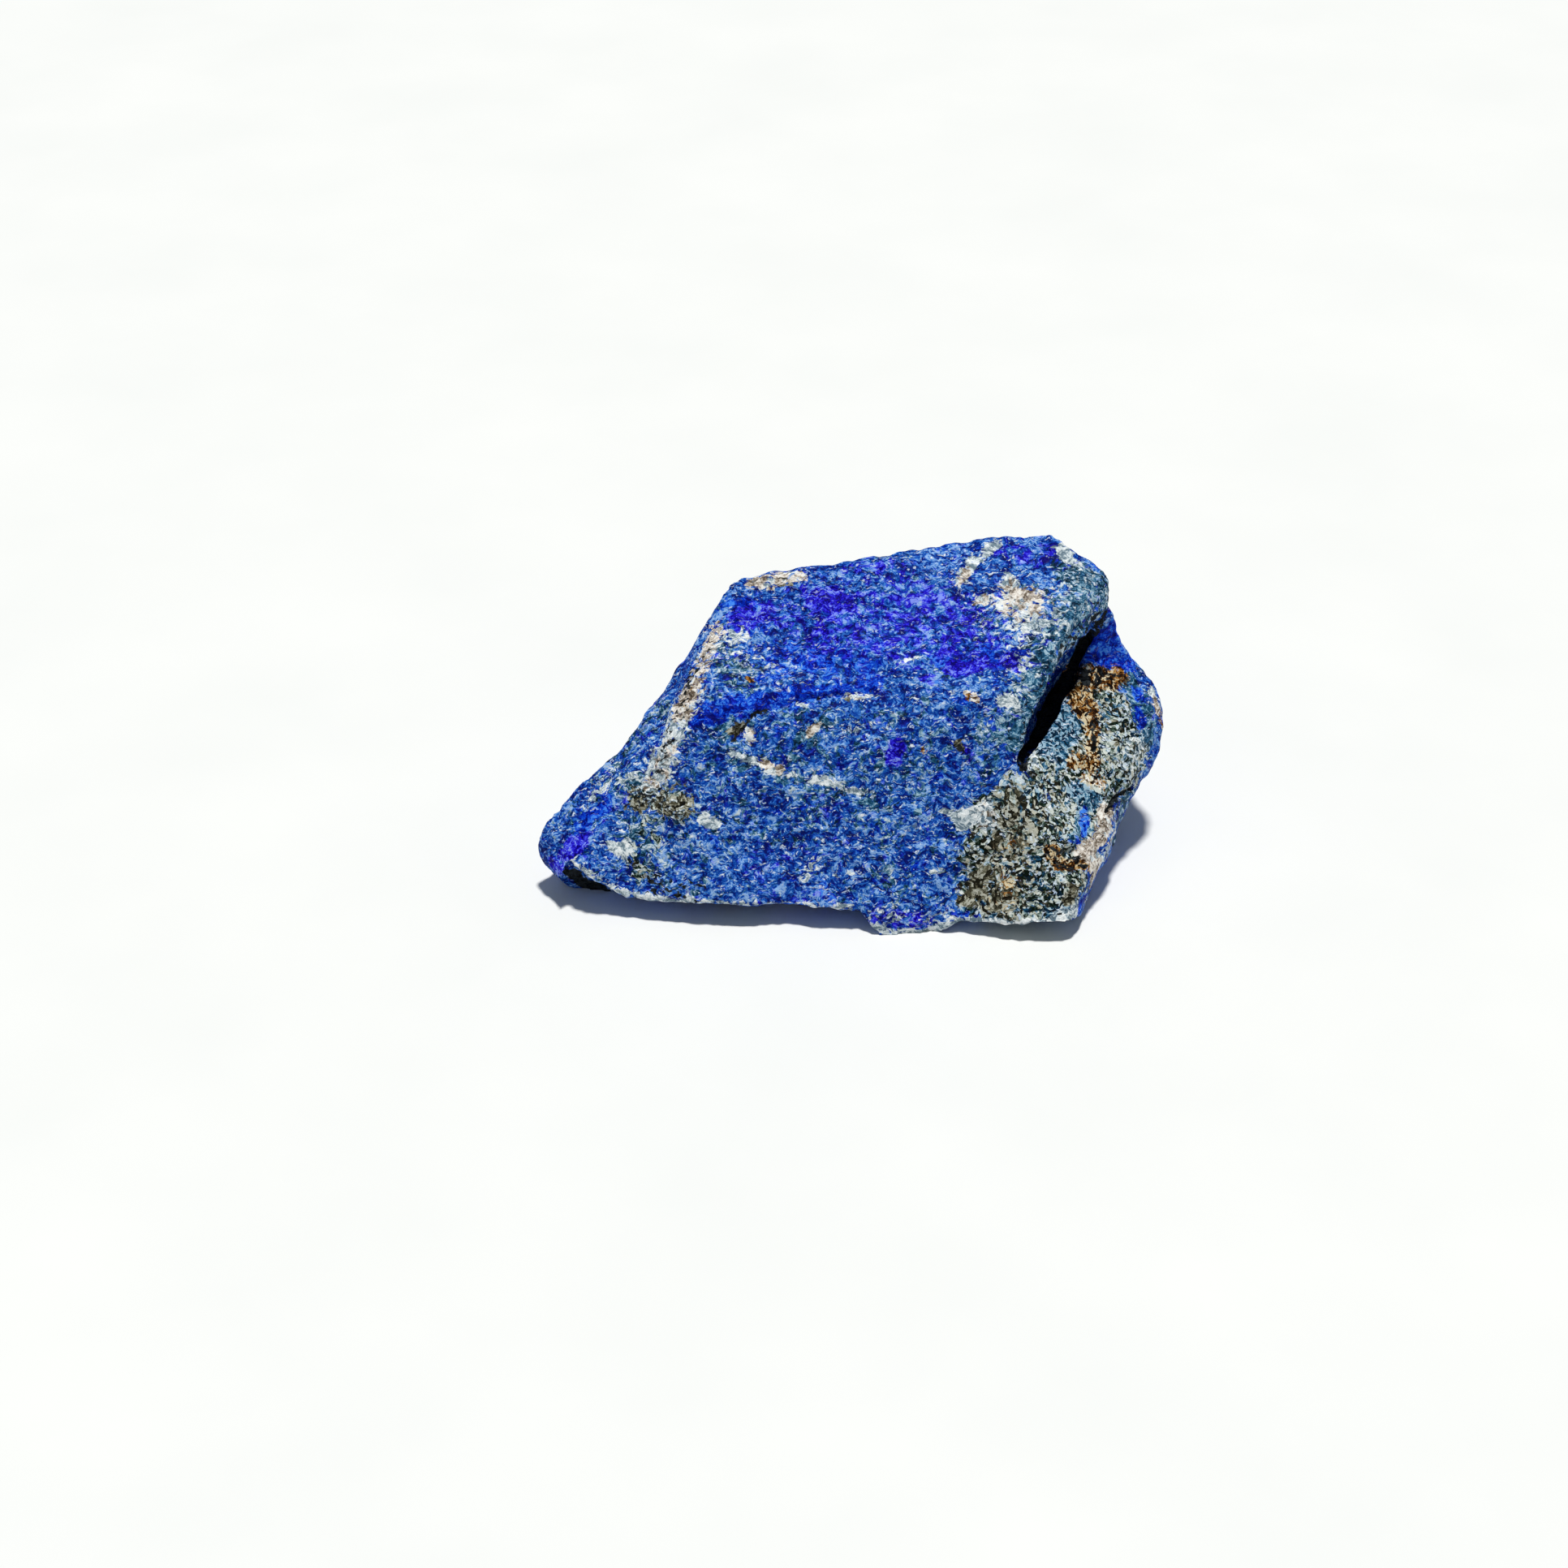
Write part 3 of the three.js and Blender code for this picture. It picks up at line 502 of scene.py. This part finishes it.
def relief(points, tree):
    """Height of the small relief over the CAD surface, in mm."""
    level = noise_at(points, TERRACE_SIZE) * TERRACE_STEPS
    whole = np.floor(level)
    terrace = whole + smoothstep(*TERRACE_RISER, level - whole) - 0.5
    height = TERRACE_HEIGHT / TERRACE_STEPS * terrace
    height += KNOB_HEIGHT * noise_at(points, KNOB_SIZE, KNOB_START)
    height += GRAIN_HEIGHT * noise_at(points, GRAIN_SIZE, GRAIN_START)
    for depth, radius, pixels in GROOVES.values():
        stroke = stroke_on(tree, pixels)
        reach = radius * WIDTH_OF_PIXEL
        fall = np.exp(-((distance_to_stroke(points, stroke) / reach) ** 2))
        height -= depth * fall
    return height


def make_skin():
    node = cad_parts["stone"]
    tree = BVHTree.FromObject(node, bpy.context.evaluated_depsgraph_get())
    skin = remeshed(node)
    mesh = skin.data
    points = coordinates(mesh) / MM
    outward = normals(mesh)
    facing = outward @ np.array(BACK)
    hidden = 1.0 - smoothstep(-HIDDEN_TURN, HIDDEN_TURN, facing)

    under = points[:, 2] < FLOOR_LEVEL / MM
    height = relief(points, tree)
    hollow = HOLLOW_DEPTH * smoothstep(*HOLLOW_EDGE, noise_at(points, HOLLOW_SIZE, HOLLOW_START))
    height[under] = -hollow[under]
    moved = points + outward * height[:, None]
    low = np.array(cad_box[0]) / MM
    high = np.array(cad_box[1]) / MM
    moved = np.clip(moved, low, high)
    mesh.vertices.foreach_set("co", (moved * MM).ravel())
    mesh.update()

    for name, amount in zone_amounts(points, hidden, tree).items():
        layer = mesh.attributes.new(name, "FLOAT", "POINT")
        layer.data.foreach_set("value", amount.astype(np.float32))
    mesh.polygons.foreach_set("use_smooth", [True] * len(mesh.polygons))
    return skin


# ---- Materials -----------------------------------------------------------------------------------
class Graph:
    """Short calls that add nodes to a material and link them."""

    def __init__(self, name):
        self.material = bpy.data.materials.new(name)
        self.material.use_nodes = True
        self.tree = self.material.node_tree
        self.tree.nodes.clear()

    def add(self, kind, inputs=(), **settings):
        node = self.tree.nodes.new(kind)
        for key, value in settings.items():
            setattr(node, key, value)
        for socket, value in dict(inputs).items():
            self.set(node.inputs[socket], value)
        return node

    def set(self, socket, value):
        if isinstance(value, bpy.types.NodeSocket):
            self.tree.links.new(value, socket)
        else:
            socket.default_value = value

    def math(self, operation, a, b=0.0, clamp=False):
        node = self.add("ShaderNodeMath", {0: a, 1: b}, operation=operation, use_clamp=clamp)
        return node.outputs[0]

    def vector(self, operation, a, b=None, **named):
        inputs = {0: a, **named} if b is None else {0: a, 1: b, **named}
        return self.add("ShaderNodeVectorMath", inputs, operation=operation).outputs[0]

    def blend(self, factor, a, b):
        """A number between a and b."""
        return self.add("ShaderNodeMix", {0: factor, 2: a, 3: b}).outputs[0]

    def step(self, value, low, high):
        """0 below low, 1 above high, smooth between them."""
        inputs = {0: value, 1: low, 2: high}
        return self.add("ShaderNodeMapRange", inputs, interpolation_type="SMOOTHSTEP").outputs[0]

    def spread(self, value, from_low, from_high, to_low, to_high):
        """The value moved from one range to another, and kept inside it."""
        inputs = {0: value, 1: from_low, 2: from_high, 3: to_low, 4: to_high}
        return self.add("ShaderNodeMapRange", inputs).outputs[0]

    def mix(self, factor, a, b):
        """A colour between a and b."""
        node = self.add("ShaderNodeMix", data_type="RGBA")
        self.set(node.inputs[0], factor)
        self.set(node.inputs[6], a)
        self.set(node.inputs[7], b)
        return node.outputs[2]

    def ramp(self, factor, stops):
        """The colour that the stops (position, colour) have at the factor."""
        node = self.add("ShaderNodeValToRGB", {0: factor})
        elements = node.color_ramp.elements
        while len(elements) < len(stops):
            elements.new(1.0)
        for element, (position, color) in zip(elements, stops):
            element.position = position
            element.color = (*color, 1.0)
        return node.outputs[0]

    def amount(self, name):
        """How much of a zone the surface has here."""
        return self.add("ShaderNodeAttribute", attribute_name=name).outputs["Fac"]

    def noise(self, vector, scale, detail):
        inputs = {"Vector": vector, "Scale": scale, "Detail": detail}
        return self.add("ShaderNodeTexNoise", inputs)

    def cells(self, vector, scale):
        return self.add("ShaderNodeTexVoronoi", {"Vector": vector, "Scale": scale})

    def shifted(self, vector, start):
        return self.vector("ADD", vector, (start, start, start))

    def wobble(self, vector, waves, reach):
        """Noise about zero along X, Y and Z, each over a span of reach."""
        noise_color = self.noise(vector, waves, WAVE_DETAIL).outputs["Color"]
        centred = self.vector("SUBTRACT", noise_color, (0.5, 0.5, 0.5))
        return self.vector("SCALE", centred, Scale=reach)

    def random(self, position, start):
        """One random number for each grain, from the grain's own place."""
        moved = self.shifted(position, start)
        return self.add("ShaderNodeTexWhiteNoise", {"Vector": moved}).outputs["Value"]

    def finished(self, inputs):
        """The material, with a shader that has these inputs."""
        shader = self.add("ShaderNodeBsdfPrincipled", inputs)
        self.add("ShaderNodeOutputMaterial", {"Surface": shader.outputs[0]})
        return self.material


GRAINS_TO_MM = 3.0
COARSE_GRAINS_TO_MM = 4.4  # in the granular rock
STREAK = (0.62, 1.0, 1.0)  # grains are drawn out along X
SLIVER = (0.45, 1.1, 1.1)  # and the pale flecks more so

# Layers of noise: (waves to a mm, detail). A wobble moves the noise that is read after it.
WAVE_DETAIL = 2.0
BIG_WAVES, BIG_WOBBLE = 0.9, 1.0  # the wobbles are in mm
SMALL_WAVES, SMALL_WOBBLE = 3.2, 0.34
CLOUDY = (2.4, 4.0)
FINE = (7.5, 3.0)
PATCHY, PATCHY_START = (0.55, 1.0), 31.0
FLECKY, FLECKY_START = (5.0, 3.0), 5.0
SHARE_DETAIL = 3.0
MOTTLE = (60.0, 3.0)  # of the floor, in waves to a metre

# Light and dark: how far each layer moves the shade from its middle.
MIDDLE_SHADE = 0.485
CLOUDY_GAIN = 2.5
GRAIN_GAIN = 0.40
ROCKY_CLOUDY_GAIN = 1.1
ROCKY_GRAIN_GAIN = 1.70
PATCHY_GAIN = 0.95
FINE_GAIN = 2.5

# Where in the noise each random number of a grain is read.
GRAIN_DRAW = 1.3
COARSE_DRAW = 2.9
BLUISH_DRAW, BLUISH = 4.7, (0.70, 0.74)  # grains above this are slate
BROWNISH_DRAW, BROWNISH = 7.1, (0.80, 0.84)  # and above this olive

# How a zone breaks up into patches: (waves to a mm, start in the noise, softness, gain).
SHARES = {
    "granular": (1.8, 18.1, 0.12, 1.0),
    "grey": (2.6, 12.3, 0.12, 1.0),
    "teal": (1.4, 13.7, 0.12, 1.0),
    "bright": (1.2, 14.9, 0.12, 1.0),
    "violet": (2.0, 11.1, 0.25, 1.0),
    "olive": (2.2, 15.1, 0.12, 1.0),
    "warm": (1.6, 21.9, 0.12, 1.0),
    "white": (3.6, 17.3, 0.12, 0.85),
    "rust": (4.2, 20.3, 0.12, 1.0),
    "dark": (3.4, 16.7, 0.08, 1.0),
}
STREAKED_ZONES = ("white", "dark")  # their patches are drawn out as the grains are
SHARE_RANGE = (0.30, 0.70)  # nearly all of the noise lies within it
SHARE_SLOPE = 1.24  # with the offset, the share covered is near to the zone's amount
SHARE_OFFSET = 0.12

FLECK_EDGE = (0.60, 0.67)  # of the noise, over which a fleck comes in
BRIGHT_FLECK_EDGE = (0.66, 0.71)
CLEAR_RANGE = (0.1, 0.95)  # amount of violet or bright blue over which the flecks die out
CLEAR_FLECKS = (1.0, 0.12)  # how much of them shows at its two ends

BUMP_STRENGTH = 0.9
BUMP_DISTANCE = 0.15 * MM
FINE_BUMP = 0.55
GRAIN_BUMP = 0.35
ROUGHNESS_RANGE = (0.42, 0.85)  # from grain to grain
STONE_IOR = 1.5
STONE_SPECULAR = 0.05
FLOOR_ROUGHNESS = 0.85
FLOOR_SHADES = [(0.3, (0.83, 0.84, 0.83)), (0.7, (0.86, 0.865, 0.855))]

# Colours, each from the darkest grains to the lightest.
BLUES = [
    (0.00, (0.001, 0.006, 0.130)),
    (0.22, (0.001, 0.024, 0.280)),
    (0.50, (0.004, 0.078, 0.440)),
    (0.78, (0.046, 0.205, 0.650)),
    (1.00, (0.270, 0.460, 0.820)),
]
VIOLETS = [
    (0.00, (0.002, 0.000, 0.140)),
    (0.30, (0.006, 0.001, 0.390)),
    (0.60, (0.022, 0.012, 0.720)),
    (0.85, (0.062, 0.088, 0.860)),
    (1.00, (0.220, 0.300, 0.920)),
]
BRIGHTS = [
    (0.00, (0.000, 0.002, 0.140)),
    (0.40, (0.000, 0.018, 0.440)),
    (0.75, (0.003, 0.080, 0.720)),
    (1.00, (0.060, 0.250, 0.880)),
]
GREYS = [
    (0.00, (0.002, 0.006, 0.003)),
    (0.28, (0.014, 0.034, 0.022)),
    (0.52, (0.088, 0.132, 0.108)),
    (0.80, (0.330, 0.405, 0.370)),
    (1.00, (0.640, 0.690, 0.640)),
]
SLATES = [
    (0.00, (0.002, 0.014, 0.030)),
    (0.30, (0.007, 0.058, 0.115)),
    (0.55, (0.042, 0.142, 0.250)),
    (0.80, (0.220, 0.375, 0.510)),
    (1.00, (0.640, 0.730, 0.790)),
]
TEALS = [
    (0.00, (0.001, 0.014, 0.036)),
    (0.50, (0.014, 0.092, 0.195)),
    (0.80, (0.095, 0.250, 0.390)),
    (1.00, (0.350, 0.520, 0.640)),
]
OLIVES = [
    (0.00, (0.012, 0.011, 0.006)),
    (0.45, (0.095, 0.088, 0.055)),
    (0.75, (0.240, 0.235, 0.170)),
    (1.00, (0.500, 0.500, 0.420)),
]
WHITES = [
    (0.00, (0.150, 0.220, 0.280)),
    (0.35, (0.400, 0.490, 0.545)),
    (0.65, (0.735, 0.805, 0.835)),
    (1.00, (0.925, 0.960, 0.970)),
]
CREAMS = [
    (0.00, (0.140, 0.105, 0.075)),
    (0.35, (0.430, 0.370, 0.310)),
    (0.65, (0.780, 0.710, 0.640)),
    (1.00, (0.950, 0.920, 0.860)),
]
RUSTS = [
    (0.00, (0.010, 0.003, 0.000)),
    (0.35, (0.085, 0.026, 0.003)),
    (0.60, (0.300, 0.120, 0.020)),
    (0.85, (0.520, 0.320, 0.110)),
    (1.00, (0.700, 0.600, 0.400)),
]
# For dark grains, and for the painted shade of the gap, the toe's hollow and the ledge.
DARK_GRAINS_AND_SHADE = [
    (0.00, (0.001, 0.002, 0.003)),
    (1.00, (0.030, 0.036, 0.040)),
]
FLECK_COLOR = (0.480, 0.610, 0.820, 1.0)
BRIGHT_FLECK_COLOR = (0.860, 0.900, 0.940, 1.0)


def stone_material():
    g = Graph("lapis_lazuli")
    place = g.add("ShaderNodeTexCoord").outputs["Object"]
    in_mm = g.vector("SCALE", place, Scale=1.0 / MM)
    warped = g.vector("ADD", in_mm, g.wobble(in_mm, BIG_WAVES, BIG_WOBBLE))
    warped = g.vector("ADD", warped, g.wobble(in_mm, SMALL_WAVES, SMALL_WOBBLE))
    streaked = g.vector("MULTIPLY", warped, STREAK)

    cloudy = g.noise(streaked, *CLOUDY).outputs["Fac"]
    fine = g.noise(streaked, *FINE).outputs["Fac"]
    grain = g.cells(streaked, GRAINS_TO_MM).outputs["Position"]
    coarse = g.cells(warped, COARSE_GRAINS_TO_MM).outputs["Position"]
    one_grain = g.random(grain, GRAIN_DRAW)
    one_coarse = g.random(coarse, COARSE_DRAW)

    def around(value, gain):
        return g.math("MULTIPLY", g.math("SUBTRACT", value, 0.5), gain)

    def share(name):
        """Soft patches that cover as much of the surface as the zone's amount says."""
        waves, start, soft, gain = SHARES[name]
        space = streaked if name in STREAKED_ZONES else warped
        field = g.noise(g.shifted(space, start), waves, SHARE_DETAIL).outputs["Fac"]
        level = g.spread(field, *SHARE_RANGE, 0.0, 1.0)
        limit = g.math("MULTIPLY", g.amount(name), SHARE_SLOPE * gain)
        limit = g.math("SUBTRACT", limit, SHARE_OFFSET)
        return g.step(g.math("SUBTRACT", limit, level), -soft, soft)

    streaky = g.math("ADD", around(cloudy, CLOUDY_GAIN), around(one_grain, GRAIN_GAIN))
    granular = g.math(
        "ADD", around(cloudy, ROCKY_CLOUDY_GAIN), around(one_coarse, ROCKY_GRAIN_GAIN)
    )
    rocky = share("granular")
    patchy = g.noise(g.shifted(warped, PATCHY_START), *PATCHY).outputs["Fac"]
    shade = g.blend(rocky, streaky, granular)
    shade = g.math("ADD", shade, around(patchy, PATCHY_GAIN))
    shade = g.math("ADD", shade, around(fine, FINE_GAIN))
    shade = g.math("ADD", shade, MIDDLE_SHADE, clamp=True)

    bluish = g.step(g.random(coarse, BLUISH_DRAW), *BLUISH)
    brownish = g.step(g.random(coarse, BROWNISH_DRAW), *BROWNISH)
    speckled = g.mix(bluish, g.ramp(shade, GREYS), g.ramp(shade, SLATES))
    speckled = g.mix(brownish, speckled, g.ramp(shade, OLIVES))
    slivers = g.vector("MULTIPLY", warped, SLIVER)
    flecks = g.noise(g.shifted(slivers, FLECKY_START), *FLECKY).outputs["Fac"]
    fleck = g.mix(g.step(flecks, *BRIGHT_FLECK_EDGE), FLECK_COLOR, BRIGHT_FLECK_COLOR)
    clear = g.math("MAXIMUM", g.amount("violet"), g.amount("bright"))
    flecked = g.spread(clear, *CLEAR_RANGE, *CLEAR_FLECKS)
    pale = g.mix(share("warm"), g.ramp(shade, WHITES), g.ramp(shade, CREAMS))

    color = g.ramp(shade, BLUES)
    color = g.mix(share("grey"), color, g.ramp(shade, SLATES))
    color = g.mix(rocky, color, speckled)
    color = g.mix(share("teal"), color, g.ramp(shade, TEALS))
    color = g.mix(share("bright"), color, g.ramp(shade, BRIGHTS))
    color = g.mix(share("violet"), color, g.ramp(shade, VIOLETS))
    color = g.mix(g.math("MULTIPLY", g.step(flecks, *FLECK_EDGE), flecked), color, fleck)
    color = g.mix(share("olive"), color, g.ramp(shade, OLIVES))
    # Pale veins and grains, and the painted highlights on the lower rim and the top corner.
    color = g.mix(share("white"), color, pale)
    color = g.mix(share("rust"), color, g.ramp(shade, RUSTS))
    # Dark grains, and the painted shade of the gap, the toe's hollow and the ledge.
    color = g.mix(share("dark"), color, g.ramp(shade, DARK_GRAINS_AND_SHADE))

    facet = g.blend(rocky, one_grain, one_coarse)
    height = g.math("ADD", cloudy, g.math("MULTIPLY", fine, FINE_BUMP))
    height = g.math("ADD", height, g.math("MULTIPLY", facet, GRAIN_BUMP))
    bump = g.add("ShaderNodeBump", {
        "Strength": BUMP_STRENGTH,
        "Distance": BUMP_DISTANCE,
        "Height": height,
    })
    return g.finished({
        "Base Color": color,
        "Roughness": g.spread(one_grain, 0.0, 1.0, *ROUGHNESS_RANGE),
        "IOR": STONE_IOR,
        "Specular IOR Level": STONE_SPECULAR,
        "Normal": bump.outputs["Normal"],
    })


def floor_material():
    g = Graph("pale_floor")
    place = g.add("ShaderNodeTexCoord").outputs["Object"]
    mottle = g.noise(place, *MOTTLE).outputs["Fac"]
    return g.finished({
        "Base Color": g.ramp(mottle, FLOOR_SHADES),
        "Roughness": FLOOR_ROUGHNESS,
    })


# ---- Stage ---------------------------------------------------------------------------------------
FLOOR_HALF = 1.5  # metres
KEY_DIRECTION = Vector((0.06, 0.02, 1.0))  # towards the light
KEY_STRENGTH = 3.15
KEY_ANGLE = math.radians(6.0)
KEY_COLOR = (1.0, 0.985, 0.95)
FILL_STRENGTH = 0.20
FILL_COLOR = (0.78, 0.90, 1.0, 1.0)


def make_floor():
    h = FLOOR_HALF
    mesh = bpy.data.meshes.new("floor")
    corners = [(-h, -h, 0.0), (h, -h, 0.0), (h, h, 0.0), (-h, h, 0.0)]
    mesh.from_pydata(corners, [], [(0, 1, 2, 3)])
    floor = bpy.data.objects.new("floor", mesh)
    bpy.context.scene.collection.objects.link(floor)
    mesh.materials.append(floor_material())


def make_lights():
    key = bpy.data.lights.new("key", "SUN")
    key.energy = KEY_STRENGTH
    key.angle = KEY_ANGLE
    key.color = KEY_COLOR
    lamp = bpy.data.objects.new("key", key)
    lamp.rotation_euler = KEY_DIRECTION.to_track_quat("Z", "Y").to_euler()
    bpy.context.scene.collection.objects.link(lamp)
    world = bpy.data.worlds.new("studio")
    world.use_nodes = True
    sky = world.node_tree.nodes["Background"]
    sky.inputs["Color"].default_value = FILL_COLOR
    sky.inputs["Strength"].default_value = FILL_STRENGTH
    bpy.context.scene.world = world


def make_camera():
    data = bpy.data.cameras.new("camera")
    data.lens = LENS
    data.sensor_width = SENSOR
    data.clip_start = NEAR_CLIP
    camera = bpy.data.objects.new("camera", data)
    camera.location = EYE
    camera.rotation_euler = BACK.to_track_quat("Z", "Y").to_euler()
    bpy.context.scene.collection.objects.link(camera)
    bpy.context.scene.camera = camera


make_camera()
make_floor()
make_lights()
bpy.context.scene.view_settings.view_transform = "Standard"

noise.seed_set(WARP_SEED)
skin = make_skin()
skin.data.materials.append(stone_material())
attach(skin, "root")
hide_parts("stone")

print("triangles", sum(len(face.vertices) - 2 for face in skin.data.polygons))
